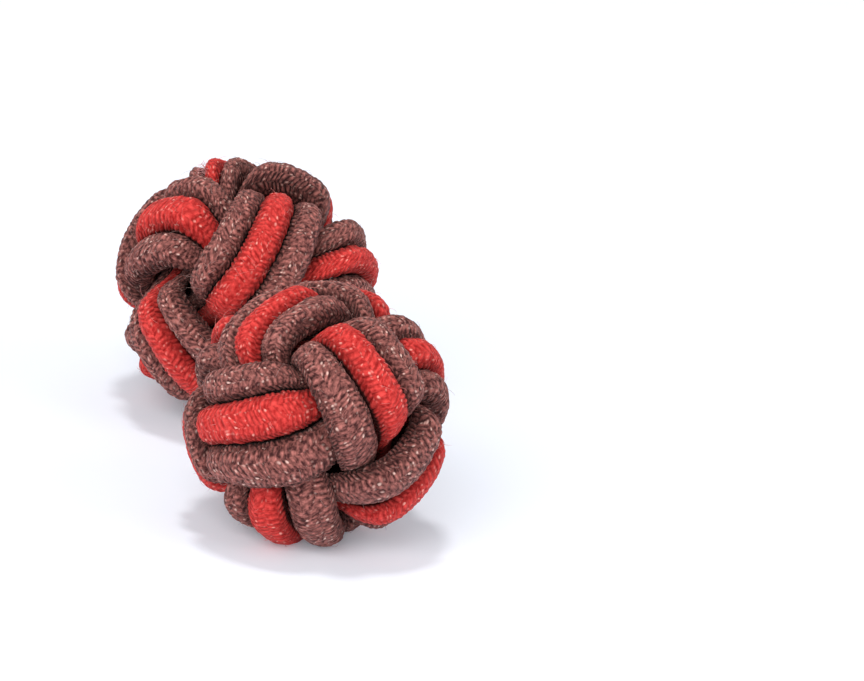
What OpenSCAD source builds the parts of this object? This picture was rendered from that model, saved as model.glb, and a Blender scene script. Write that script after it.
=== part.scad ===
// Silk-knot cufflink: two woven balls of braided cord, joined by a short elastic link.
// A ball is tied from four bands of three cords, brown, red and brown. Each band goes right round the ball, three
// times over and three times under the other bands. The rear knot is tied the other way round.
// The link runs along Y, Z is up, and the origin is on the surface under the middle of the cufflink.

/* [Knots] */
// Radius of a knot over the tops of its cords
knot_r = 6.25; // [5.5:0.05:7]
// Distance between the centres of the two knots
knot_apart = 16; // [15:0.1:20]
// Height of the front knot's centre above the surface, which presses its lowest cords a little flat
front_height = 5.78; // [5.74:0.01:5.84]
// The same for the rear knot
rear_height = 6.04; // [6:0.01:6.1]
// How far the knots lie off the middle of the cufflink, along X and Y
knots_off = [-0.14, -0.2]; // [-0.5:0.01:0.5]

/* [Weave] */
// Radius of a cord's upper side where its band passes under another
under_r = 3.95; // [3.8:0.01:4.05]
// Radius of a cord's lower side on top of the ball
over_base_r = 4.48; // [4.4:0.01:4.5]
// Radius of a cord's lower side where its band passes under another
under_base_r = 3.25; // [3.1:0.01:3.3]
// How much lower a band's outer cords lie than its middle one
edge_drop = 0.13; // [0.1:0.01:0.2]
// How suddenly the upper side dives
dive_top = 1.84; // [1.7:0.01:1.9]
// How suddenly the lower side dives
dive_base = 1.44; // [1.3:0.01:1.5]
// Rise of the lower side half way down
base_rise = 0.11; // [0:0.01:0.12]
// Angle between neighbouring cords on top of the ball
cord_angle = 18.9; // [18.8:0.1:19.2]
// The same where the band passes under another
cord_angle_under = 17.7; // [17.6:0.1:18]
// Pull of an outer cord away from the middle of a triangle of crossings, in degrees
corner_pull = 2; // [1.8:0.1:2.2]
// How far an outer cord's crossings are shifted along it, in degrees
edge_lead = 6.2; // [6:0.1:6.4]

/* [Cord] */
// Half width of a cord on top of the ball, in degrees
half_over = 9.1; // [8.6:0.05:9.1]
// Half width where the band passes under another
half_under = 8.15; // [7.8:0.05:8.15]
// Half width of a middle cord half way down
half_between = 8.6; // [8.2:0.05:8.6]
// Half width of an outer cord beside a triangle of crossings
half_corner = 6.8; // [6.4:0.05:6.8]
// Rings of points along one round of a cord
rings = 36; // [24:6:36]
// Sides of a cord
cord_sides = 9; // [8:1:9]
// How far a place where the cords were pushed aside reaches, in degrees about the knot's centre
push_reach = 38; // [37:0.5:39]

/* [Front knot] */
// Turns about X, Y and Z that lay the front knot, in degrees
front_turn = [116.5, -67, -27]; // [-180:0.5:180]
// The way it is loosest
front_loose_way = [0.15, -0.95, 0.15]; // [-1:0.05:1]
// How loose it is that way, and how much more half way round, in degrees
front_loose = [7.5, 5.5]; // [-5:0.5:10]
// Swirl of the cords about that way, in degrees
front_swirl = 6; // [-8:0.5:8]
// Pull out of round along X and Y, and across XY, XZ and YZ
front_pull = [0.01, -0.06, -0.05, 0, -0.09]; // [-0.15:0.01:0.15]
// How much thinner its cords are on its outer side and on the link's side
front_thin = [0.04, 0.05]; // [0.03:0.01:0.3]
// Sideways swing of its bands, in degrees
front_sway = 5; // [4.6:0.1:5.2]
// How much larger it is than the knot's radius says
front_size = 1; // [0.9:0.01:1.1]

/* [Rear knot] */
// Turns about X, Y and Z that lay the rear knot, in degrees
rear_turn = [-17.5, 14.5, -176]; // [-180:0.5:180]
// The way it is loosest
rear_loose_way = [-0.05, 1, 0.05]; // [-1:0.05:1]
// How loose it is that way, and how much more half way round, in degrees
rear_loose = [-11, 9.5]; // [-12:0.5:10]
// Swirl of the cords about that way, in degrees
rear_swirl = 8.5; // [-8:0.5:12]
// Pull out of round along X and Y, and across XY, XZ and YZ
rear_pull = [0.01, 0.03, 0.09, 0.03, 0]; // [-0.15:0.01:0.15]
// How much thinner its cords are on its outer side and on the link's side
rear_thin = [0.05, 0.2]; // [0.04:0.01:0.3]
// Sideways swing of its bands, in degrees
rear_sway = 5.5; // [4.6:0.1:5.6]
// How much larger it is than the knot's radius says
rear_size = 1.02; // [0.9:0.01:1.1]

/* [Link] */
// Diameter of the link
link_d = 1.5; // [1.2:0.1:1.6]
// Diameter of the stopper at each end of the link
stopper_d = 5.2; // [4.6:0.1:5.6]
// How much thicker the link is where it bends
bend_extra = 0.1; // [0.05:0.01:0.2]
// How far from a knot's centre the link turns towards the other knot
link_turn_r = 5.6; // [5.2:0.1:6]
// How far the cords of the front knot stand back from the link, in degrees about its centre
front_room = 12; // [11:0.5:14]
// The same for the rear knot, whose square hole is wider
rear_room = 2; // [0:0.5:6]

/* [Hidden] */

BROWN = "#6b463d";
RED = "#c8342e";
ROUND = 64;

// Columns of a knot. WAY is 1 or -1, the way along Y that its outer side faces. HOLE is the square between four bands
// that the link comes out of, in the knot before it is turned.
WAY = 0;
HEIGHT = 1;
TURN = 2;
LOOSE_WAY = 3;
LOOSE = 4;
SWIRL = 5;
PULL = 6;
THIN = 7;
SWAY = 8;
SIZE = 9;
HOLE = 10;
PUSHES = 11;
ROOM = 12;

// Columns of the pushes: each row is a place where the cords were pushed aside as the knot was pulled tight. AT is the
// way to the place from the knot's centre, and SHIFT is how far the cords there moved, in degrees.
AT = 0;
SHIFT = 1;
FRONT_PUSHES = [];
REAR_PUSHES = [
    [[-0.12, -0.75, 0.66], [3.4, -4, -4]],
    [[0.66, -0.07, 0.75], [3.2, 25.2, -0.3]],
    [[-0.78, 0.08, 0.62], [12.5, 0.6, 15.7]],
    [[0.7, -0.7, -0.16], [4.2, -0.9, 22.1]],
    [[-0.69, -0.64, -0.33], [-2, -4.5, 12.8]],
    [[0.04, 0.56, 0.83], [-6.4, 3.2, -1.9]]
];
FRONT = [
    -1, front_height, front_turn, front_loose_way, front_loose, front_swirl, front_pull, front_thin, front_sway,
    front_size, [0, 0, -1], FRONT_PUSHES, front_room
];
REAR = [
    1, rear_height, rear_turn, rear_loose_way, rear_loose, rear_swirl, rear_pull, rear_thin, rear_sway,
    rear_size, [0, 1, 0], REAR_PUSHES, rear_room
];

// Which cord of a band
LEFT = -1;
MIDDLE = 0;
RIGHT = 1;

// Over, under, over, under, over and under make six crossings, so the weave repeats three times in a round
REPEATS = 3;
// Band 1 in a knot that isn't turned: the way of its first over-crossing, the way a quarter round, and its side
BAND_1 = [[0, 1, 1] / sqrt(2), [2, -1, 1] / sqrt(6), [1, 1, -1] / sqrt(3)];

function unit(v) = v / norm(v);
function turn_x(a) = [[1, 0, 0], [0, cos(a), -sin(a)], [0, sin(a), cos(a)]];
function turn_y(a) = [[cos(a), 0, sin(a)], [0, 1, 0], [-sin(a), 0, cos(a)]];
function turn_z(a) = [[cos(a), -sin(a), 0], [sin(a), cos(a), 0], [0, 0, 1]];
function turn(t) = turn_z(t.z) * turn_y(t.y) * turn_x(t.x);

// A smooth step between -1 and 1, and a steeper one
function step(x) = x * (3 - x * x) / 2;
function dive(x, steep) = step(step(x)) * (steep - 1) + step(x) * (2 - steep);
function between(low, high, share) = low + (high - low) * share;
function over_share(x, steep) = (dive(x, steep) + 1) / 2;

// The section of a cord at the angle a along its band: how far it lies off the band's middle, its half width, and
// the radius of its upper and of its lower side
function middle_section(a, sway) =
    let (
        s = sin(REPEATS * a),
        c = cos(REPEATS * a),
        over = over_share(c, dive_top)
    )
    [
        -sway * s,
        between(half_under, half_over, over) + (half_between - (half_over + half_under) / 2) * s * s,
        between(under_r, knot_r, over),
        between(under_base_r, over_base_r, over_share(c, dive_base)) + base_rise * s * s
    ];

function outer_section(a, sway) =
    let (
        s = sin(REPEATS * a),
        c = cos(REPEATS * (a - edge_lead * cos(REPEATS * a))),
        over = over_share(c, dive_top),
        corner = max(s, 0) ^ 2
    )
    [
        between(cord_angle_under, cord_angle, over) - sway * s - corner_pull * corner,
        between(between(half_under, half_over, over), half_corner, corner),
        between(under_r, knot_r - edge_drop, over),
        between(under_base_r, over_base_r, over_share(c, dive_base)) + base_rise * s * s
    ];

function section(which, a, sway) =
    which == MIDDLE ? middle_section(a, sway)
    : let (s = outer_section(which * a, sway)) [which * s[0], s[1], s[2], s[3]];

// The three ways of a band as it lies in a knot. The rear knot is the mirror image of the front one.
function band_ways(knot, band) = [
    for (v = BAND_1)
        let (w = turn_z(90 * (band - 1)) * v)
        turn(knot[TURN]) * [-knot[WAY] * w.x, w.y, w.z]
];

// Spreads a direction away from the way the knot is loosest, and swirls it about that way
function loosened(w, knot) =
    let (
        way = unit(knot[LOOSE_WAY]),
        along = w * way,
        off = acos(max(min(along, 1), -1)),
        across = unit(w - along * way),
        off_new = off + knot[LOOSE][0] * sin(off) + knot[LOOSE][1] * sin(2 * off),
        swirl = knot[SWIRL] * along
    )
    cos(off_new) * way + sin(off_new) * (cos(swirl) * across + sin(swirl) * cross(way, across));

// Pulls a direction as the knot is pulled out of round
function pulled(w, knot) =
    let (p = knot[PULL])
    unit([
        [1 + p[0], p[2], p[3]],
        [p[2], 1 + p[1], p[4]],
        [p[3], p[4], 1 - p[0] - p[1]]
    ] * w);

// Moves a direction as the cords there were pushed aside
function pushed(w, knot) =
    let (
        share = [for (row = knot[PUSHES]) exp(-(acos(max(min(w * unit(row[AT]), 1), -1)) / push_reach) ^ 2)],
        shift = [for (row = knot[PUSHES]) row[SHIFT] * PI / 180]
    )
    unit(w + share * shift);

// A direction in a knot that is turned but not yet pulled tight, as it ends up in the tight knot
function laid(w, knot) =
    let (tight = pulled(loosened(w, knot), knot))
    knot[PUSHES] == [] ? tight : pushed(tight, knot);

// The way from a knot's centre out of the square hole that the link uses
function link_way(knot) = laid(turn(knot[TURN]) * knot[HOLE], knot);

// Holds a direction back from the link, so that the link has its way out
function beside_link(w, knot) =
    let (
        way = link_way(knot),
        along = w * way,
        off = acos(max(min(along, 1), -1)),
        room = knot[ROOM] * max(1 - off / 90, 0),
        off_new = sqrt(off * off + room * room)
    )
    cos(off_new) * way + sin(off_new) * unit(w - along * way);

// One point of a cord: a along its band, b round its section
function cord_point(knot, ways, which, a, b) =
    let (
        s = section(which, a, knot[SWAY]),
        outward = ([cos(a), sin(a), 0] * ways) * [0, knot[WAY], 0],
        slim = 1 - between(knot[THIN][1], knot[THIN][0], (1 + outward) / 2),
        off = (s[0] + s[1] * cos(b)) * slim,
        r = (s[2] + s[3]) / 2 + (s[2] - s[3]) / 2 * sin(b),
        w = [cos(off) * cos(a), cos(off) * sin(a), sin(off)] * ways
    )
    beside_link(laid(w, knot), knot) * r * knot[SIZE];

function centre(knot) = [knots_off.x, knot[WAY] * knot_apart / 2 + knots_off.y, knot[HEIGHT]];

// Presses a point flat on the surface
function on_surface(p) = [p.x, p.y, max(p.z, 0)];

module cord(knot, band, which) {
    ways = band_ways(knot, band);
    points = [
        for (i = [0:rings - 1])
            for (j = [0:cord_sides - 1])
                on_surface(
                    centre(knot)
                    + cord_point(knot, ways, which, i * 360 / rings, (j + 0.25) * 360 / cord_sides)
                )
    ];
    function corner(i, j) = (i % rings) * cord_sides + j % cord_sides;
    // The mirror image of a knot has its faces wound the other way
    function wound(face) = knot[WAY] < 0 ? face : [face[2], face[1], face[0]];
    faces = [
        for (i = [0:rings - 1])
            for (j = [0:cord_sides - 1])
                each [
                    wound([corner(i, j), corner(i + 1, j), corner(i + 1, j + 1)]),
                    wound([corner(i, j), corner(i + 1, j + 1), corner(i, j + 1)])
                ]
    ];
    polyhedron(points, faces, convexity = 6);
}

module front_red(band) {
    color(RED) cord(FRONT, band, MIDDLE);
}

module front_brown_left(band) {
    color(BROWN) cord(FRONT, band, LEFT);
}

module front_brown_right(band) {
    color(BROWN) cord(FRONT, band, RIGHT);
}

module rear_red(band) {
    color(RED) cord(REAR, band, MIDDLE);
}

module rear_brown_left(band) {
    color(BROWN) cord(REAR, band, LEFT);
}

module rear_brown_right(band) {
    color(BROWN) cord(REAR, band, RIGHT);
}

// A straight length of the link
module link_length(from, to) {
    way = to - from;
    translate(from) rotate([0, acos(way.z / norm(way)), atan2(way.y, way.x)])
        cylinder(d = link_d, h = norm(way), $fn = ROUND);
}

// The elastic between the knots, with the ball-shaped stopper that holds it inside each knot. It leaves a knot straight
// through the square hole, and turns towards the other knot outside it.
module link() {
    turns = [for (knot = [FRONT, REAR]) centre(knot) + link_way(knot) * link_turn_r];
    color(BROWN)
    union() {
        for (knot = [FRONT, REAR])
            translate(centre(knot)) sphere(d = stopper_d, $fn = ROUND);
        for (p = turns)
            translate(p) sphere(d = link_d + bend_extra, $fn = ROUND);
        link_length(centre(FRONT), turns[0]);
        link_length(turns[0], turns[1]);
        link_length(turns[1], centre(REAR));
    }
}

front_red(1);  // front_red_1
front_red(2);  // front_red_2
front_red(3);  // front_red_3
front_red(4);  // front_red_4
front_brown_left(1);  // front_brown_left_1
front_brown_left(2);  // front_brown_left_2
front_brown_left(3);  // front_brown_left_3
front_brown_left(4);  // front_brown_left_4
front_brown_right(1);  // front_brown_right_1
front_brown_right(2);  // front_brown_right_2
front_brown_right(3);  // front_brown_right_3
front_brown_right(4);  // front_brown_right_4
rear_red(1);  // rear_red_1
rear_red(2);  // rear_red_2
rear_red(3);  // rear_red_3
rear_red(4);  // rear_red_4
rear_brown_left(1);  // rear_brown_left_1
rear_brown_left(2);  // rear_brown_left_2
rear_brown_left(3);  // rear_brown_left_3
rear_brown_left(4);  // rear_brown_left_4
rear_brown_right(1);  // rear_brown_right_1
rear_brown_right(2);  // rear_brown_right_2
rear_brown_right(3);  // rear_brown_right_3
rear_brown_right(4);  // rear_brown_right_4
link();
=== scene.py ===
"""Silk-knot cufflink: two woven balls of braided cord, brown and red, joined by a short elastic link.
Run by Blender 4.5. Lengths are in metres and angles in degrees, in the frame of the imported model."""

import math

import bpy
import numpy as np
from mathutils import Matrix, Vector


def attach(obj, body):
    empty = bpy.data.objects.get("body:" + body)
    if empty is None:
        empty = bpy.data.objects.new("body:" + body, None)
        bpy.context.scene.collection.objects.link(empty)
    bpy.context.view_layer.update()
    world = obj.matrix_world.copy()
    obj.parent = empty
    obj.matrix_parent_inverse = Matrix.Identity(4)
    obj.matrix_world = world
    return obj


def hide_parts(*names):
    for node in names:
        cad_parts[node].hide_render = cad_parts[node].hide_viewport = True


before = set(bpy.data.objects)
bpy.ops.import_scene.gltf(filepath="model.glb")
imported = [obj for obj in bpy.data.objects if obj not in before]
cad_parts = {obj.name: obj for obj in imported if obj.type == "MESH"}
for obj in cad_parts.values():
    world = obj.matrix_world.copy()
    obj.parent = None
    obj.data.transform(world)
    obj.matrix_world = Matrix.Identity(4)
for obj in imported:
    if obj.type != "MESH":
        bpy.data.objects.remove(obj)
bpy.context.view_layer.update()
MM = 0.001

# Front knot: a ball tied from four bands of three braided cords, brown, red and brown. Each band goes right
# round the ball, three times over and three times under the other bands, and the ball is pulled a little out
# of round.
FRONT_KNOT = {
    "way": -1,  # 1 or -1, the way along Y that its outer side faces
    "centre": np.array([-0.14, -8.2, 5.78]) * MM,
    "turn": (116.5, -67, -27),  # about X, Y and Z
    "loose_way": (0.15, -0.95, 0.15),  # the way it is loosest
    "loose": (7.5, 5.5),  # how loose it is that way, and how much more half way round
    "swirl": 6,  # of its cords about that way
    "pull": (0.01, -0.06, -0.05, 0, -0.09),  # out of round along X and Y, and across XY, XZ and YZ
    "thin": (0.04, 0.05),  # how much thinner its cords are on its outer side and on the link's side
    "sway": 5,  # sideways swing of its bands
    "size": 1,  # how much larger it is than KNOT_RADIUS says
    "hole": (0, 0, -1),  # the square hole that the link uses, before the knot is turned
    "pushes": [],  # places, and how far the cords there were pushed aside
    "link_room": 12,  # how far its cords stand back from the link
}
KNOT_RADIUS = 6.25 * MM  # over the tops of the cords
UNDER_RADIUS = 3.95 * MM  # of a cord's upper side where its band passes under another
OVER_BASE_RADIUS = 4.48 * MM  # of a cord's lower side on top of the ball
UNDER_BASE_RADIUS = 3.25 * MM  # of a cord's lower side where its band passes under another
BASE_RISE = 0.11 * MM  # of the lower side half way down
EDGE_DROP = 0.13 * MM  # how much lower a band's outer cords lie than its middle one
TOP_DIVE = 1.84  # how suddenly the upper side dives
BASE_DIVE = 1.44  # how suddenly the lower side dives
CORD_ANGLE_OVER = 18.9  # between neighbouring cords on top of the ball
CORD_ANGLE_UNDER = 17.7  # between neighbouring cords where the band passes under another
TRIANGLE_PULL = -1.4  # of an outer cord beside a triangle of crossings, towards the middle of its band
HOLE_PULL = 1.0  # of an outer cord beside a square hole, away from the middle of its band
EDGE_LEAD = 6.2  # how far an outer cord's crossings are shifted along it
HALF_OVER = 9.1  # half width of a cord on top of the ball
HALF_UNDER = 8.15  # half width where the band passes under another
HALF_TRIANGLE = 7.7  # half width of an outer cord beside a triangle of crossings
HALF_HOLE = 9.6  # half width of an outer cord beside a square hole
MIDDLE_NARROWING = 0.025  # of a middle cord's half width half way down
CROSSING_REPEATS = 3  # over and under three times in a round
PUSH_REACH = 38  # how far about the knot's centre a push reaches
LEFT, MIDDLE, RIGHT = -1, 0, 1  # which cord of a band
BANDS = (1, 2, 3, 4)
BAND_1_WAYS = np.array([[0.0, 1, 1], [2, -1, 1], [1, 1, -1]])  # first over-crossing, quarter round and side


def turn(angles):
    """The matrix of the turns about X, Y and Z, one after the other."""
    matrix = np.eye(3)
    for axis, angle in zip("XYZ", angles):
        matrix = np.array(Matrix.Rotation(math.radians(angle), 3, axis)) @ matrix
    return matrix


def unit(vectors):
    return vectors / np.linalg.norm(vectors, axis=-1, keepdims=True)


def between(low, high, share):
    return low + (high - low) * share


def over_share(x, dive):
    """1 where a band goes over, 0 where it goes under, with a dive between them."""
    once = x * (3 - x * x) / 2
    twice = once * (3 - once * once) / 2
    return (twice * (dive - 1) + once * (2 - dive) + 1) / 2


def cord_section(which, around, sway):
    """A cord at the angles around its band: its offset from the band's middle and half width, in degrees,
    and the radius of its upper and its lower side. which is LEFT, MIDDLE or RIGHT."""
    place = around if which == MIDDLE else around * which
    sine = np.sin(np.radians(CROSSING_REPEATS * place))
    cosine = np.cos(np.radians(CROSSING_REPEATS * place))
    halfway = sine * sine
    if which == MIDDLE:
        over = over_share(cosine, TOP_DIVE)
        offset = -sway * sine
        half_width = between(HALF_UNDER, HALF_OVER, over) - MIDDLE_NARROWING * halfway
        drop = 0
    else:
        cosine = np.cos(np.radians(CROSSING_REPEATS * (place - EDGE_LEAD * cosine)))
        over = over_share(cosine, TOP_DIVE)
        pull = np.where(sine > 0, TRIANGLE_PULL, HOLE_PULL) * halfway
        offset = which * (between(CORD_ANGLE_UNDER, CORD_ANGLE_OVER, over) - sway * sine + pull)
        half_beside = np.where(sine > 0, HALF_TRIANGLE, HALF_HOLE)
        half_width = between(between(HALF_UNDER, HALF_OVER, over), half_beside, halfway)
        drop = EDGE_DROP
    upper = between(UNDER_RADIUS, KNOT_RADIUS - drop, over)
    lower = between(UNDER_BASE_RADIUS, OVER_BASE_RADIUS, over_share(cosine, BASE_DIVE)) + BASE_RISE * halfway
    return offset, half_width, upper, lower


def band_ways(knot, band):
    """The three ways of a band as it lies in the knot: to its first over-crossing, a quarter round, and its
    side."""
    ways = unit(BAND_1_WAYS) @ turn((0, 0, 90 * (band - 1))).T
    return ways * (-knot["way"], 1, 1) @ turn(knot["turn"]).T


def loosened(ways, knot):
    """Spreads ways out of the knot's centre away from the way it is loosest, and swirls them about it."""
    way = unit(np.array(knot["loose_way"], float))
    along = ways @ way
    off = np.arccos(np.clip(along, -1, 1))
    across = unit(ways - along[..., None] * way)
    first, second = np.radians(knot["loose"])
    off = off + first * np.sin(off) + second * np.sin(2 * off)
    swirl = np.radians(knot["swirl"] * along)[..., None]
    sideways = np.cos(swirl) * across + np.sin(swirl) * np.cross(way, across)
    return np.cos(off)[..., None] * way + np.sin(off)[..., None] * sideways


def pulled(ways, knot):
    """Pulls ways as the knot is pulled out of round."""
    xx, yy, xy, xz, yz = knot["pull"]
    return unit(ways @ np.array([[1 + xx, xy, xz], [xy, 1 + yy, yz], [xz, yz, 1 - xx - yy]]))


def laid(ways, knot):
    """Ways in a knot that is turned but not yet tight, as they end up in the tight knot."""
    ways = pulled(loosened(ways, knot), knot)
    moved = ways
    for place, shift in knot["pushes"]:
        off = np.degrees(np.arccos(np.clip(ways @ unit(np.array(place, float)), -1, 1)))
        moved = moved + np.exp(-((off / PUSH_REACH) ** 2))[..., None] * np.radians(shift)
    return unit(moved)


def link_way(knot):
    """The way out of the knot's centre through the square hole that the link uses."""
    return laid(turn(knot["turn"]) @ np.array(knot["hole"], float), knot)


def beside_link(ways, knot):
    """Holds ways back from the link, so that it has room to come out."""
    way = link_way(knot)
    along = ways @ way
    off = np.degrees(np.arccos(np.clip(along, -1, 1)))
    room = knot["link_room"] * np.maximum(1 - off / 90, 0)
    off = np.radians(np.hypot(off, room))[..., None]
    return np.cos(off) * way + np.sin(off) * unit(ways - along[..., None] * way)


def on_floor(points):
    """Presses points flat where they would reach into the floor."""
    points[..., 2] = np.maximum(points[..., 2], 0)
    return points


def cord_surface(knot, band, which, around, about):
    """Points on a cord, at the angles around its band and about its own middle, two grids of one shape."""
    offset, half_width, upper, lower = cord_section(which, around, knot["sway"])
    first, quarter, side = band_ways(knot, band)
    ring = np.radians(around)[..., None]
    in_band = np.cos(ring) * first + np.sin(ring) * quarter
    outward = in_band[..., 1] * knot["way"]
    slim = 1 - between(knot["thin"][1], knot["thin"][0], (1 + outward) / 2)
    sideways = np.radians((offset + half_width * np.cos(np.radians(about))) * slim)[..., None]
    radius = (upper + lower) / 2 + (upper - lower) / 2 * np.sin(np.radians(about))
    ways = beside_link(laid(np.cos(sideways) * in_band + np.sin(sideways) * side, knot), knot)
    return on_floor(knot["centre"] + ways * radius[..., None] * knot["size"])


# Each cord is braided from ten yarns over an elastic core. The elastic pulls the braid short, so a yarn shows
# as rows of fat stitches that lie nearly straight across the cord and slant one way and the other in turn.
STITCH_PITCH = 0.25 * MM
STITCH_COLUMNS = 10
STITCH_SLANT = 0.34
STITCH_DEPTH = 0.15 * MM
STITCH_BOW = 0.35  # how much lower a stitch is at its ends
STITCH_HEIGHTS = (0.45, 1.0)  # of the lowest and the highest stitches
SURFACE_HEIGHT = 0.55  # the part of a stitch's height that lies inside the smooth cord
RED_CREST_DEPTH = 0.42  # of the stitches on top of a red cord, as a share of those on its sides
BROWN_CREST_DEPTH = 0.65
CREST_COLUMN = 3.5
CREST_COLUMNS = 2  # how far from the crest the stitches get their full depth
# How the stitches slip along the cord: waves for each stitch, turns about the cord, and size in stitches.
SLIPS = ((0.06, 0, 0.35), (0.13, 1, 0.2), (0.21, -1, 0.14), (0.34, 2, 0.07))
OUTER_COLUMNS = 7  # the columns that can be seen, all but those on the inner side of the cord
SIDES_PER_COLUMN = 4
SIDES_PER_HIDDEN_COLUMN = 2
RINGS_PER_STITCH = 5
RINGS_PER_HIDDEN_STITCH = 2
SHOWN_OVER = -0.4  # the stitches show where the cosine of the crossing angle is above this
LENGTH_SAMPLES = 2401  # points on a cord's middle line, to measure it
NORMAL_STEP = 0.02  # to the points on either side that show which way the surface faces
COLUMN_PLACES = np.concatenate(
    [
        np.arange(0, OUTER_COLUMNS, 1 / SIDES_PER_COLUMN),
        np.arange(OUTER_COLUMNS, STITCH_COLUMNS, 1 / SIDES_PER_HIDDEN_COLUMN),
    ]
)

# Painted shadow on a cord: deep in the ball, where it touches the next cord of its band, and on its flanks.
# Each has the share at which the shadow starts, the share over which it deepens, and how dark it gets.
DEEP_SHADOW = (0.29, 0.15, 0.85)
TOUCHING_SHADOW = (0.93, 0.06, 1)
FLANK_SHADOW = (0.55, 0.45, 0.45)


def stitch_height(along, column_place, random_height):
    """The braid's height, 0 in a groove and 1 on top of a stitch. along counts stitches along the cord and
    column_place counts columns round it."""
    column = np.floor(column_place).astype(int)
    across = (column_place - column) * 2 - 1
    odd = column % 2
    stitch = along + (1 - 2 * odd) * STITCH_SLANT * across + 0.5 * odd
    number = np.floor(stitch).astype(int)
    in_stitch = (stitch - number) * 2 - 1
    crown = np.sqrt(np.maximum(1 - in_stitch * in_stitch, 0))
    bow = 1 - STITCH_BOW * across**4
    rows, columns = random_height.shape
    return crown * bow * random_height[number % rows, column % columns]


def drift(along, column_place, stitches, random):
    """How far the stitches have slipped along the cord, which keeps the braid from looking machined."""
    slip = 0
    for waves, twist, size in SLIPS:
        turns = round(waves * stitches) * along / stitches + twist * column_place / STITCH_COLUMNS
        slip = slip + size * np.sin(2 * math.pi * (turns + random.random()))
    return slip


def stitched(surface, around, stitch_place, column_place, stitches, crest_depth, random):
    """The points of the braid on a smooth surface, their angles about the cord, and how far its stitches
    slipped."""
    about = 90 + (column_place - CREST_COLUMN) * 360 / STITCH_COLUMNS
    points = surface(around, about)
    along_way = surface(around + NORMAL_STEP, about) - surface(around - NORMAL_STEP, about)
    about_way = surface(around, about + NORMAL_STEP) - surface(around, about - NORMAL_STEP)
    normal = unit(np.cross(about_way, along_way))
    outward = points - points.mean(axis=1, keepdims=True)
    normal *= np.sign((normal * outward).sum(axis=-1, keepdims=True))
    random_height = between(*STITCH_HEIGHTS, random.random((stitches, STITCH_COLUMNS)))
    slip = drift(stitch_place, column_place, stitches, random)
    height = stitch_height(stitch_place + slip, column_place, random_height) - SURFACE_HEIGHT
    off_crest = np.clip(np.abs(column_place - CREST_COLUMN) / CREST_COLUMNS, 0, 1)
    depth = STITCH_DEPTH * between(crest_depth, 1, off_crest)
    return on_floor(points + normal * (height * depth)[..., None]), about, slip


def tube_faces(points):
    """The faces of a closed round tube, all pointing outwards. points has one row for each ring."""
    numbers = np.arange(points.shape[0] * points.shape[1]).reshape(points.shape[:2])
    next_ring = np.roll(numbers, -1, axis=0)
    corners = [numbers, next_ring, np.roll(next_ring, -1, axis=1), np.roll(numbers, -1, axis=1)]
    faces = np.stack(corners, axis=-1).reshape(-1, 4)
    first, second, third = (points.reshape(-1, 3)[faces[:, corner]] for corner in range(3))
    centre_line = points.mean(axis=1, keepdims=True).repeat(points.shape[1], axis=1).reshape(-1, 3)
    if (np.cross(second - first, third - first) * (first - centre_line[faces[:, 0]])).sum() < 0:
        faces = faces[:, ::-1]
    return faces


def map_braid(mesh, faces, rings, stitches, slip):
    """Gives the mesh its map, which counts stitches along the cord and columns round it."""
    sides = len(COLUMN_PLACES)
    ring_index, side_index = np.divmod(faces, sides)
    last_ring = (ring_index == 0) & (ring_index.max(axis=1, keepdims=True) == len(rings) - 1)
    last_side = (side_index == 0) & (side_index.max(axis=1, keepdims=True) == sides - 1)
    along = np.append(rings, stitches)[np.where(last_ring, len(rings), ring_index)] + slip.ravel()[faces]
    round_it = np.append(COLUMN_PLACES, STITCH_COLUMNS)[np.where(last_side, sides, side_index)]
    braid_map = mesh.uv_layers.new(name="braid")
    braid_map.data.foreach_set("uv", np.stack([along, round_it], axis=-1).astype(np.float32).ravel())


def add_cord(name, surface, middle, shown, shadow, crest_depth, seed):
    """A braided cord as one closed mesh. surface(around, about) gives its points, middle(around) its middle
    line, shown(around) says where its stitches are seen, and shadow(points, about) how dark they lie, from 0
    to 1. The stitches are crest_depth as deep on top of the cord as they are on its sides."""
    random = np.random.default_rng(seed)
    fine = np.linspace(0, 360, LENGTH_SAMPLES)
    length = np.append(0, np.cumsum(np.linalg.norm(np.diff(middle(fine), axis=0), axis=1)))
    stitches = round(length[-1] / STITCH_PITCH)
    stitch_starts = np.interp(np.arange(stitches) / stitches, length / length[-1], fine)
    rings = []
    for i in range(stitches):
        per_stitch = RINGS_PER_STITCH if shown(stitch_starts[i]) else RINGS_PER_HIDDEN_STITCH
        rings += [i + j / per_stitch for j in range(per_stitch)]
    rings = np.array(rings)
    ring_angles = np.interp(rings / stitches, length / length[-1], fine)
    around, column_place = np.meshgrid(ring_angles, COLUMN_PLACES, indexing="ij")
    stitch_place = np.meshgrid(rings, COLUMN_PLACES, indexing="ij")[0]
    points, about, slip = stitched(surface, around, stitch_place, column_place, stitches, crest_depth, random)

    faces = tube_faces(points)
    mesh = bpy.data.meshes.new(name)
    mesh.from_pydata(points.reshape(-1, 3).tolist(), [], faces.tolist())
    map_braid(mesh, faces, rings, stitches, slip)
    shadows = mesh.attributes.new("shadow", "FLOAT", "POINT")
    shadows.data.foreach_set("value", shadow(points, about).astype(np.float32).ravel())
    mesh.shade_smooth()
    cord = bpy.data.objects.new(name, mesh)
    bpy.context.collection.objects.link(cord)
    return cord


def deepened(share, start, reach, darkness):
    """How dark a place is: not at all up to start, and as dark as darkness one reach further on."""
    return darkness * np.clip((share - start) / reach, 0, 1)


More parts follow.
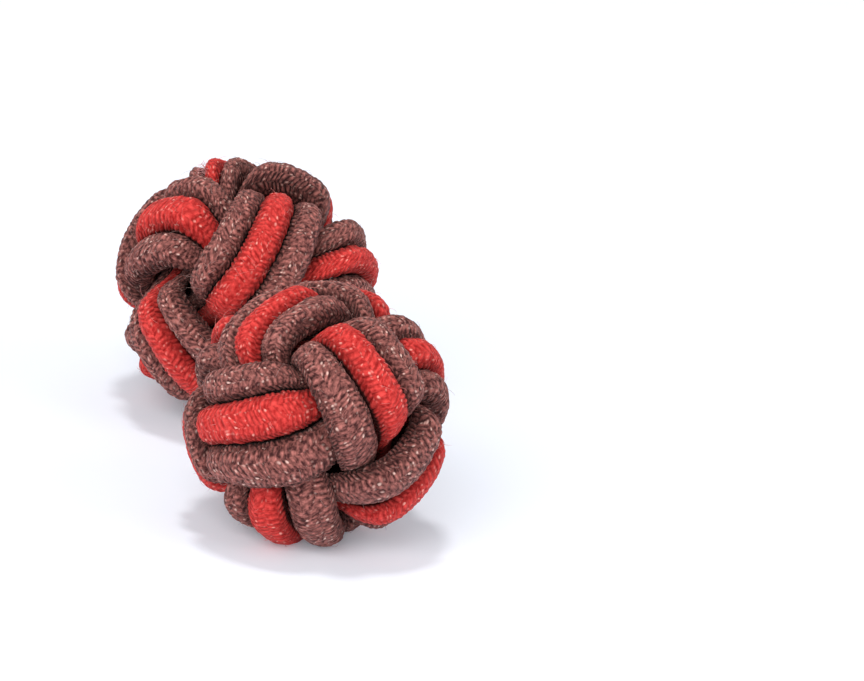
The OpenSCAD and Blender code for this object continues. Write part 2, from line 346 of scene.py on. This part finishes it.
def add_knot_cord(knot, knot_name, kind, which, band, seed):
    """One cord of a knot, in place of its solid."""

    def surface(around, about):
        return cord_surface(knot, band, which, around, about)

    def middle(around):
        return (surface(around, around * 0 + 90) + surface(around, around * 0 - 90)) / 2

    def shown(around):
        return math.cos(math.radians(CROSSING_REPEATS * around)) > SHOWN_OVER

    def shadow(points, about):
        depth = 1 - np.linalg.norm(points - knot["centre"], axis=-1) / (KNOT_RADIUS * knot["size"])
        side = np.cos(np.radians(about))
        beside = np.abs(side) if which == MIDDLE else -which * side
        inside = np.maximum(deepened(depth, *DEEP_SHADOW), deepened(beside, *TOUCHING_SHADOW))
        return np.maximum(inside, deepened(np.abs(side), *FLANK_SHADOW))

    crest_depth = RED_CREST_DEPTH if kind == "red" else BROWN_CREST_DEPTH
    cord = add_cord(f"{knot_name}_{kind}_cord_{band}", surface, middle, shown, shadow, crest_depth, seed)
    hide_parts(f"{knot_name}_{kind}_{band}")
    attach(cord, "root")
    return cord


# The yarns are satin, so a stitch is bright where its filaments turn to the light and dark in the grooves
# beside it. The group gives the masks for painted shade in those grooves and for painted glints, painted
# highlights on the stitches. It works out where a place lies in the braid, from the counts of stitches and
# columns in the cord's own map. A ramp here is the factor and the sum that turn one value into another.
FLANK_RAMP = (0.55, -0.35)  # from columns off the crest to how much of a flank it is
FLANK_GROOVE_RAMP = (0.5, 0.5)
WORN_GROOVE_RAMP = (2.4, -0.25)
GROOVE_SHARPNESS = 1.5
EDGE_SHARPNESS = 5.0
EDGE_GROOVE = 0.4
STREAK_SCALES = (1.6, 2.2)  # of the streaks, by stitch and by column
STREAK_DETAIL = 1.5
FILAMENT_DETAIL = 2.0
FILAMENT_SHIFT = 7.3  # between the filaments of neighbouring columns
FILAMENT_HEIGHT = 0.6
GLINT_SCALES = (1.7, 3.8)  # of the glints, by stitch and by column
LUCKY_RAMP = (3.6, -2.65)  # few of the spots that could glint do
GLINT_RAMP = (-2.8, 1.55)  # from the distance to such a spot to how bright it is


def new_group(name, inputs, outputs):
    group = bpy.data.node_groups.new(name, "ShaderNodeTree")
    for socket_name, kind, value in inputs:
        socket = group.interface.new_socket(socket_name, in_out="INPUT", socket_type=kind)
        if value is not None:
            socket.default_value = value
    for socket_name, kind in outputs:
        group.interface.new_socket(socket_name, in_out="OUTPUT", socket_type=kind)
    nodes = group.nodes
    return group, nodes.new("NodeGroupInput"), nodes.new("NodeGroupOutput")


def join(tree, source, target):
    tree.links.new(source, target)


def maths(tree, operation, *values, clamp=False):
    """A maths node. Each value is a number or another node's output."""
    node = tree.nodes.new("ShaderNodeMath")
    node.operation = operation
    node.use_clamp = clamp
    for socket, value in zip(node.inputs, values):
        if isinstance(value, (int, float)):
            socket.default_value = value
        else:
            join(tree, value, socket)
    return node.outputs[0]


def centred_fraction(tree, value):
    """The fraction of a count, from -1 at its start to 1 at its end."""
    return maths(tree, "MULTIPLY_ADD", maths(tree, "FRACT", value), 2.0, -1.0)


def flat_place(tree, along, across):
    """A place on the braid, to lay a pattern out on."""
    place = tree.nodes.new("ShaderNodeCombineXYZ")
    join(tree, along, place.inputs[0])
    join(tree, across, place.inputs[1])
    return place.outputs[0]


def noise(tree, place, scale, detail=2.0, roughness=0.5):
    texture = tree.nodes.new("ShaderNodeTexNoise")
    texture.inputs["Scale"].default_value = scale
    texture.inputs["Detail"].default_value = detail
    texture.inputs["Roughness"].default_value = roughness
    join(tree, place, texture.inputs["Vector"])
    return texture.outputs["Fac"]


braid, braid_in, braid_out = new_group(
    "braided yarn",
    [
        ("Place", "NodeSocketVector", None),
        ("Slant", "NodeSocketFloat", STITCH_SLANT),
        ("Filaments", "NodeSocketFloat", 9.0),
        ("Glints", "NodeSocketFloat", 0.9),
        ("Wear", "NodeSocketFloat", 0.5),
    ],
    [
        ("Height", "NodeSocketFloat"),
        ("Groove", "NodeSocketFloat"),
        ("Streak", "NodeSocketFloat"),
        ("Filament", "NodeSocketFloat"),
        ("Glint", "NodeSocketFloat"),
    ],
)
split = braid.nodes.new("ShaderNodeSeparateXYZ")
join(braid, braid_in.outputs["Place"], split.inputs[0])
stitch_count, column_count = split.outputs[0], split.outputs[1]
column = maths(braid, "FLOOR", column_count)
across = centred_fraction(braid, column_count)
odd = maths(braid, "FLOORED_MODULO", column, 2.0)
lean = maths(braid, "MULTIPLY", maths(braid, "MULTIPLY_ADD", odd, -2.0, 1.0), braid_in.outputs["Slant"])
stitch = maths(braid, "MULTIPLY_ADD", lean, across, stitch_count)
stitch = maths(braid, "MULTIPLY_ADD", odd, 0.5, stitch)
in_stitch = centred_fraction(braid, stitch)
off_crest = maths(braid, "ABSOLUTE", maths(braid, "SUBTRACT", column_count, CREST_COLUMN))
flank = maths(braid, "MULTIPLY_ADD", off_crest, *FLANK_RAMP, clamp=True)
# Painted shade in the grooves between stitches and at the column edges, deeper on the flanks, in patches.
groove = maths(braid, "POWER", maths(braid, "ABSOLUTE", in_stitch), GROOVE_SHARPNESS)
edge = maths(braid, "POWER", maths(braid, "ABSOLUTE", across), EDGE_SHARPNESS)
groove = maths(braid, "MAXIMUM", groove, maths(braid, "MULTIPLY", edge, EDGE_GROOVE))
groove = maths(braid, "MULTIPLY", groove, maths(braid, "MULTIPLY_ADD", flank, *FLANK_GROOVE_RAMP))
worn = maths(braid, "MULTIPLY_ADD", braid_in.outputs["Wear"], *WORN_GROOVE_RAMP)
groove = maths(braid, "MULTIPLY", groove, worn, clamp=True)
crown = maths(braid, "SUBTRACT", 1.0, groove)
join(braid, groove, braid_out.inputs["Groove"])

streak_along = maths(braid, "MULTIPLY", stitch, STREAK_SCALES[0])
streak_across = maths(braid, "MULTIPLY", column_count, STREAK_SCALES[1])
streak_place = flat_place(braid, streak_along, streak_across)
streaks = noise(braid, streak_place, scale=1.0, detail=STREAK_DETAIL)
join(braid, streaks, braid_out.inputs["Streak"])

filament_along = maths(braid, "MULTIPLY", stitch, braid_in.outputs["Filaments"])
filament_across = maths(braid, "MULTIPLY_ADD", column, FILAMENT_SHIFT, across)
filament_place = flat_place(braid, filament_along, filament_across)
filaments = noise(braid, filament_place, scale=1.0, detail=FILAMENT_DETAIL)
join(braid, filaments, braid_out.inputs["Filament"])
join(braid, maths(braid, "MULTIPLY_ADD", filaments, FILAMENT_HEIGHT, crown), braid_out.inputs["Height"])

# Painted highlights: glints in small spots on the crowns of the stitches.
glint_along = maths(braid, "MULTIPLY", stitch, GLINT_SCALES[0])
glint_across = maths(braid, "MULTIPLY", column_count, GLINT_SCALES[1])
spots = braid.nodes.new("ShaderNodeTexVoronoi")
spots.inputs["Scale"].default_value = 1.0
join(braid, flat_place(braid, glint_along, glint_across), spots.inputs["Vector"])
spot_numbers = braid.nodes.new("ShaderNodeSeparateColor")
join(braid, spots.outputs["Color"], spot_numbers.inputs[0])
lucky = maths(braid, "MULTIPLY_ADD", spot_numbers.outputs[0], *LUCKY_RAMP, clamp=True)
bright = maths(braid, "MULTIPLY_ADD", spots.outputs["Distance"], *GLINT_RAMP, clamp=True)
glint = maths(braid, "MULTIPLY", lucky, bright)
glint = maths(braid, "MULTIPLY", glint, braid_in.outputs["Glints"], clamp=True)
join(braid, maths(braid, "MULTIPLY", glint, crown, clamp=True), braid_out.inputs["Glint"])

# Finish of the cords: near black painted shadow where the cords meet, lie deep in the ball or turn their
# flanks away, painted shade in the grooves of the braid, and plain to light in streaks along the stitches.
# The yarn is worn in patches and fuzzy, and has painted glints, painted highlights, in small spots.
WEAR_SCALE = 900.0  # patches in a metre
WEAR_DETAIL = 4.0
FUZZ_SCALE = 5200.0
FUZZ_DETAIL = 3.0
FUZZ_ROUGHNESS = 0.65
STREAK_SHADE = 2.1  # how much the streaks add to the yarn's shade
FILAMENT_SHADE = 0.9
WEAR_SHADE = 0.5
FUZZ_SHADE = 1.6
YARN_ROUGHNESS = 0.65
GLINT_ROUGHNESS = -0.15  # how much a glint adds to the yarn's roughness
SHADOW_ROUGHNESS = 0.35
FUZZ_HEIGHT = 0.8


def mix(tree, share, first, second):
    """A colour mix. Each colour is four numbers or another node's output."""
    node = tree.nodes.new("ShaderNodeMix")
    node.data_type = "RGBA"
    for socket, value in ((node.inputs[0], share), (node.inputs[6], first), (node.inputs[7], second)):
        if isinstance(value, (int, float, tuple)):
            socket.default_value = value
        else:
            join(tree, value, socket)
    return node.outputs[2]


def mapped_place(tree):
    """The counts of stitches and columns, as a cord's own map has them."""
    place = tree.nodes.new("ShaderNodeUVMap")
    place.uv_map = "braid"
    return place.outputs[0]


def yarn_material(name, painted_shadow, dark, plain, light, glint, sheen_tint, tone, find_place=mapped_place):
    """Braided satin yarn. Its shade goes from plain to light, tone shifts all of it, and find_place adds the
    nodes that say where a place lies in the braid."""
    material = bpy.data.materials.new(name)
    material.use_nodes = True
    tree = material.node_tree
    shader = tree.nodes["Principled BSDF"]
    yarn = tree.nodes.new("ShaderNodeGroup")
    yarn.node_tree = braid
    join(tree, find_place(tree), yarn.inputs["Place"])
    shadow = tree.nodes.new("ShaderNodeAttribute")
    shadow.attribute_name = "shadow"
    coordinates = tree.nodes.new("ShaderNodeTexCoord")
    wear = noise(tree, coordinates.outputs["Object"], WEAR_SCALE, WEAR_DETAIL)
    join(tree, wear, yarn.inputs["Wear"])
    fuzz = noise(tree, coordinates.outputs["Object"], FUZZ_SCALE, FUZZ_DETAIL, FUZZ_ROUGHNESS)

    shade = maths(tree, "MULTIPLY_ADD", yarn.outputs["Streak"], STREAK_SHADE, tone)
    shade = maths(tree, "MULTIPLY_ADD", yarn.outputs["Filament"], FILAMENT_SHADE, shade)
    shade = maths(tree, "MULTIPLY_ADD", wear, WEAR_SHADE, shade)
    shade = maths(tree, "MULTIPLY_ADD", fuzz, FUZZ_SHADE, shade, clamp=True)
    colour = mix(tree, shade, plain, light)
    # Painted shade in the grooves of the braid.
    colour = mix(tree, yarn.outputs["Groove"], colour, dark)
    # Painted highlights: the glints.
    colour = mix(tree, yarn.outputs["Glint"], colour, glint)
    # Painted shadow where the cords meet, lie deep in the ball or turn their flanks away.
    colour = mix(tree, shadow.outputs["Fac"], colour, painted_shadow)
    join(tree, colour, shader.inputs["Base Color"])
    roughness = maths(tree, "MULTIPLY_ADD", yarn.outputs["Glint"], GLINT_ROUGHNESS, YARN_ROUGHNESS)
    roughness = maths(tree, "MULTIPLY_ADD", shadow.outputs["Fac"], SHADOW_ROUGHNESS, roughness, clamp=True)
    join(tree, roughness, shader.inputs["Roughness"])
    shader.inputs["Specular IOR Level"].default_value = 0.2
    shader.inputs["Specular Tint"].default_value = sheen_tint
    shader.inputs["Sheen Weight"].default_value = 0.1
    shader.inputs["Sheen Roughness"].default_value = 0.4
    shader.inputs["Sheen Tint"].default_value = sheen_tint

    bump = tree.nodes.new("ShaderNodeBump")
    bump.inputs["Strength"].default_value = 0.8
    bump.inputs["Distance"].default_value = 0.06 * MM
    join(tree, maths(tree, "MULTIPLY_ADD", fuzz, FUZZ_HEIGHT, yarn.outputs["Height"]), bump.inputs["Height"])
    join(tree, bump.outputs[0], shader.inputs["Normal"])
    return material


brown_yarn = yarn_material(
    "brown_yarn",
    painted_shadow=(0.006, 0.002, 0.002, 1),
    dark=(0.016, 0.004, 0.004, 1),
    plain=(0.058, 0.015, 0.015, 1),
    light=(0.57, 0.2, 0.168, 1),
    glint=(1.0, 0.66, 0.56, 1),
    sheen_tint=(1.0, 0.72, 0.68, 1),
    tone=-2.18,
)
red_yarn = yarn_material(
    "red_yarn",
    painted_shadow=(0.02, 0.001, 0.001, 1),
    dark=(0.18, 0.003, 0.003, 1),
    plain=(0.36, 0.010, 0.010, 1),
    light=(0.85, 0.075, 0.065, 1),
    glint=(1.0, 0.46, 0.38, 1),
    sheen_tint=(1.0, 0.5, 0.45, 1),
    tone=-2.02,
)
CORD_KINDS = [
    ("red", MIDDLE, red_yarn, "red_cord"),
    ("brown_left", LEFT, brown_yarn, "brown_cord"),
    ("brown_right", RIGHT, brown_yarn, "brown_cord"),
]


def add_knot(knot, knot_name, first_seed):
    """The twelve cords of a knot."""
    for kind, which, yarn_finish, slot in CORD_KINDS:
        for band in BANDS:
            cord = add_knot_cord(knot, knot_name, kind, which, band, seed=first_seed + 10 * band + which)
            cord.data.materials.append(yarn_finish)


add_knot(FRONT_KNOT, "front", first_seed=0)

# Rear knot: the same ball of the same braided cords, tied the other way round. It is a little larger, and
# turned and pulled in its own way, with some cords pushed aside as it was pulled tight.
REAR_KNOT = {
    "way": 1,
    "centre": np.array([-0.14, 7.8, 6.04]) * MM,
    "turn": (-17.5, 14.5, -176),
    "loose_way": (-0.05, 1, 0.05),
    "loose": (-11, 9.5),
    "swirl": 8.5,
    "pull": (0.01, 0.03, 0.09, 0.03, 0),
    "thin": (0.05, 0.2),
    "sway": 5.5,
    "size": 1.02,
    "hole": (0, 1, 0),
    "pushes": [
        ((-0.12, -0.75, 0.66), (3.4, -4, -4)),
        ((0.66, -0.07, 0.75), (3.2, 25.2, -0.3)),
        ((-0.78, 0.08, 0.62), (12.5, 0.6, 15.7)),
        ((0.7, -0.7, -0.16), (4.2, -0.9, 22.1)),
        ((-0.69, -0.64, -0.33), (-2, -4.5, 12.8)),
        ((0.04, 0.56, 0.83), (-6.4, 3.2, -1.9)),
    ],
    "link_room": 2,
}
add_knot(REAR_KNOT, "rear", first_seed=100)

# Link: a short round elastic cord, braided like the others, that runs from a knot inside one ball to a knot
# inside the other. Its braid is worked out from the place along its straight middle part and the angle
# about that.
LINK_TURN_RADIUS = 5.6 * MM  # how far from a knot's centre the link turns towards the other knot
LINK_STITCH = 0.3 * MM
link_start = FRONT_KNOT["centre"] + link_way(FRONT_KNOT) * LINK_TURN_RADIUS
link_end = REAR_KNOT["centre"] + link_way(REAR_KNOT) * LINK_TURN_RADIUS
link_turn = Vector(link_end - link_start).to_track_quat("Z", "Y").inverted()


def place_on_link(tree):
    """The counts of stitches and columns, worked out from the place on the link."""
    coordinates = tree.nodes.new("ShaderNodeTexCoord")
    mapping = tree.nodes.new("ShaderNodeMapping")
    mapping.inputs["Rotation"].default_value = link_turn.to_euler()
    mapping.inputs["Location"].default_value = -(link_turn @ Vector(link_start))
    join(tree, coordinates.outputs["Object"], mapping.inputs["Vector"])
    parts = tree.nodes.new("ShaderNodeSeparateXYZ")
    join(tree, mapping.outputs[0], parts.inputs[0])
    stitches = maths(tree, "MULTIPLY", parts.outputs[2], 1 / LINK_STITCH)
    angle = maths(tree, "ARCTAN2", parts.outputs[1], parts.outputs[0])
    columns = maths(tree, "MULTIPLY_ADD", angle, STITCH_COLUMNS / (2 * math.pi), STITCH_COLUMNS / 2)
    return flat_place(tree, stitches, columns)


link_yarn = yarn_material(
    "link_yarn",
    painted_shadow=(0.006, 0.002, 0.002, 1),
    dark=(0.01, 0.003, 0.003, 1),
    plain=(0.04, 0.01, 0.01, 1),
    light=(0.4, 0.15, 0.13, 1),
    glint=(0.7, 0.45, 0.38, 1),
    sheen_tint=(1.0, 0.72, 0.68, 1),
    tone=-2.2,
    find_place=place_on_link,
)
link = bpy.data.objects["link"]
link.data.materials.clear()
link.data.materials.append(link_yarn)

# Loose fibres: fine ends of the satin yarns that stand a little off the cords and bend over, and one small
# frayed tuft at the top of a red cord of the rear knot.
FIBRE_RADIUS = 0.011 * MM
FIBRE_TAPER = 0.6  # how much thinner a fibre is at its tip
FIBRE_SIDES = 3
FIBRE_RINGS = 5
FIBRE_ARCH = 2.4  # the part of a round arch that a fibre makes, in radians
FIBRE_CURL = 0.4  # the most that a fibre curls sideways, as a share of its length
ROOT_DEPTH = 0.03 * MM  # how far inside the smooth cord a fibre starts
FIBRES_PER_CORD = 32
FIBRE_LENGTHS = (0.2 * MM, 0.7 * MM)
FIBRE_HEIGHTS = (0.05 * MM, 0.16 * MM)
FIBRE_AROUND = (-26, 26)  # from the middle of an over-crossing
FIBRE_ABOUT = (35, 145)  # about the cord, whose top is at 90
TUFT_BAND = 3
TUFT_FIBRES = 26
TUFT_LENGTHS = (0.2 * MM, 0.6 * MM)
TUFT_HEIGHTS = (0.2 * MM, 0.5 * MM)
TUFT_AROUND = (17, 25)
TUFT_ABOUT = (30, 75)


def add_fibres(name, knot, roots, lengths, heights, random):
    """Fibres as one mesh of fine tapered tubes. Each root is which cord of its band, the band, and the angles
    around the band and about the cord. lengths and heights are the least and the most."""
    points, faces = [], []
    for which, band, around, about in roots:
        around = np.array([around])
        foot = cord_surface(knot, band, which, around, np.array([about]))[0]
        top, bottom = (cord_surface(knot, band, which, around, np.array([side]))[0] for side in (90, -90))
        normal = unit(foot - (top + bottom) / 2)
        along = unit(np.cross(normal, random.normal(size=3)))
        across = np.cross(normal, along)
        length, height = between(*lengths, random.random()), between(*heights, random.random())
        curl = length * random.uniform(-FIBRE_CURL, FIBRE_CURL)
        for share in np.linspace(0, 1, FIBRE_RINGS):
            middle = foot + along * length * share + across * curl * share**2
            middle = middle + normal * (height * math.sin(FIBRE_ARCH * share) - ROOT_DEPTH)
            middle[2] = max(middle[2], FIBRE_RADIUS)
            radius = FIBRE_RADIUS * (1 - FIBRE_TAPER * share)
            for angle in np.arange(FIBRE_SIDES) * 2 * math.pi / FIBRE_SIDES:
                points.append(middle + radius * (math.cos(angle) * normal + math.sin(angle) * across))
        first = len(points) - FIBRE_RINGS * FIBRE_SIDES
        for ring in range(first, len(points) - FIBRE_SIDES, FIBRE_SIDES):
            for side in range(FIBRE_SIDES):
                after = (side + 1) % FIBRE_SIDES
                next_ring = ring + FIBRE_SIDES
                faces.append([ring + side, next_ring + side, next_ring + after, ring + after])
        faces.append([first, first + 1, first + 2])
        faces.append([len(points) - 1, len(points) - 2, len(points) - 3])
    mesh = bpy.data.meshes.new(name)
    mesh.from_pydata([tuple(point) for point in points], [], faces)
    mesh.shade_smooth()
    fibres = bpy.data.objects.new(name, mesh)
    bpy.context.collection.objects.link(fibres)
    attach(fibres, "root")
    return fibres


def fibre_material(name, colour, tip_colour):
    material = bpy.data.materials.new(name)
    material.use_nodes = True
    tree = material.node_tree
    shader = tree.nodes["Principled BSDF"]
    coordinates = tree.nodes.new("ShaderNodeTexCoord")
    change = noise(tree, coordinates.outputs["Object"], scale=1500.0)
    join(tree, mix(tree, change, colour, tip_colour), shader.inputs["Base Color"])
    shader.inputs["Roughness"].default_value = 0.5
    shader.inputs["Sheen Weight"].default_value = 0.3
    return material


brown_fibre = fibre_material("brown_fibre", (0.10, 0.035, 0.03, 1), (0.5, 0.27, 0.23, 1))
red_fibre = fibre_material("red_fibre", (0.5, 0.03, 0.025, 1), (0.95, 0.3, 0.26, 1))
frayed_fibre = fibre_material("frayed_fibre", (0.85, 0.16, 0.15, 1), (1.0, 0.6, 0.6, 1))
fibre_random = np.random.default_rng(seed=7)


def fibre_root(which, band):
    """A root at random on one of the three stretches of a cord that show."""
    crossing = 360 / CROSSING_REPEATS * fibre_random.integers(CROSSING_REPEATS)
    return which, band, crossing + fibre_random.uniform(*FIBRE_AROUND), fibre_random.uniform(*FIBRE_ABOUT)


for knot, knot_name in ((FRONT_KNOT, "front"), (REAR_KNOT, "rear")):
    for colour, cords, finish in (("red", (MIDDLE,), red_fibre), ("brown", (LEFT, RIGHT), brown_fibre)):
        name = f"{knot_name}_{colour}_fibres"
        roots = [
            fibre_root(which, band) for which in cords for band in BANDS for fibre in range(FIBRES_PER_CORD)
        ]
        fibres = add_fibres(name, knot, roots, FIBRE_LENGTHS, FIBRE_HEIGHTS, fibre_random)
        fibres.data.materials.append(finish)
tuft_roots = [
    (MIDDLE, TUFT_BAND, fibre_random.uniform(*TUFT_AROUND), fibre_random.uniform(*TUFT_ABOUT))
    for fibre in range(TUFT_FIBRES)
]
tuft = add_fibres("frayed_tuft", REAR_KNOT, tuft_roots, TUFT_LENGTHS, TUFT_HEIGHTS, fibre_random)
tuft.data.materials.append(frayed_fibre)

# The floor is a plain pale sheet. The main light is a large soft box to the front left, a weaker one at the
# right fills its shadows, and a small one overhead gives the dark shadow right under the knots.
bpy.ops.object.select_all(action="DESELECT")
bpy.ops.mesh.primitive_plane_add(size=4)
floor = bpy.context.object
floor.name = "floor"
floor_finish = bpy.data.materials.new("pale_floor")
floor_finish.use_nodes = True
floor_shader = floor_finish.node_tree.nodes["Principled BSDF"]
floor_shader.inputs["Base Color"].default_value = (0.80, 0.835, 0.895, 1)
floor_shader.inputs["Roughness"].default_value = 0.7
floor_shader.inputs["Emission Color"].default_value = (0.86, 0.9, 1.0, 1)
floor_shader.inputs["Emission Strength"].default_value = 0.145
floor.data.materials.append(floor_finish)

world = bpy.data.worlds.new("studio")
world.use_nodes = True
world.node_tree.nodes["Background"].inputs["Color"].default_value = (0.97, 0.98, 1.0, 1)
world.node_tree.nodes["Background"].inputs["Strength"].default_value = 0.495
bpy.context.scene.world = world


def add_soft_box(name, place, size, power):
    """A round soft box that shines at the origin."""
    lamp = bpy.data.lights.new(name, "AREA")
    lamp.shape = "DISK"
    lamp.size = size
    lamp.energy = power
    box = bpy.data.objects.new(name, lamp)
    aim = (-Vector(place)).to_track_quat("-Z", "Y")
    box.matrix_world = Matrix.Translation(place) @ aim.to_matrix().to_4x4()
    bpy.context.collection.objects.link(box)


add_soft_box("main_light", place=(-0.3, -0.42, 0.34), size=0.5, power=2.7)
add_soft_box("side_light", place=(0.4, -0.3, 0.35), size=0.4, power=0.7)
add_soft_box("top_light", place=(-0.04, 0.0, 0.5), size=0.08, power=0.8)

# The camera has a long lens. It stands half a metre away and looks down on the outer side of the front knot,
# a little from the left and with a slight roll, and its view is set off to the right and up.
CAMERA_AZIMUTH = -12.91
CAMERA_ELEVATION = 20.7
CAMERA_ROLL = -6
CAMERA_DISTANCE = 0.5
VIEW_WIDTH = 39.6 * MM
VIEW_RIGHT = 5.28 * MM
VIEW_UP = 3.34 * MM
camera_turn = (
    Matrix.Rotation(math.radians(CAMERA_ROLL), 4, "Y")
    @ Matrix.Rotation(math.radians(CAMERA_AZIMUTH), 4, "Z")
    @ Matrix.Rotation(math.radians(90 - CAMERA_ELEVATION), 4, "X")
)
camera_data = bpy.data.cameras.new("camera")
camera_data.sensor_width = 36
camera_data.lens = camera_data.sensor_width * CAMERA_DISTANCE / VIEW_WIDTH
camera = bpy.data.objects.new("camera", camera_data)
camera.matrix_world = (
    Matrix.Translation(FRONT_KNOT["centre"])
    @ camera_turn
    @ Matrix.Translation((VIEW_RIGHT, VIEW_UP, CAMERA_DISTANCE))
)
bpy.context.collection.objects.link(camera)
bpy.context.scene.camera = camera
bpy.context.scene.view_settings.view_transform = "Standard"
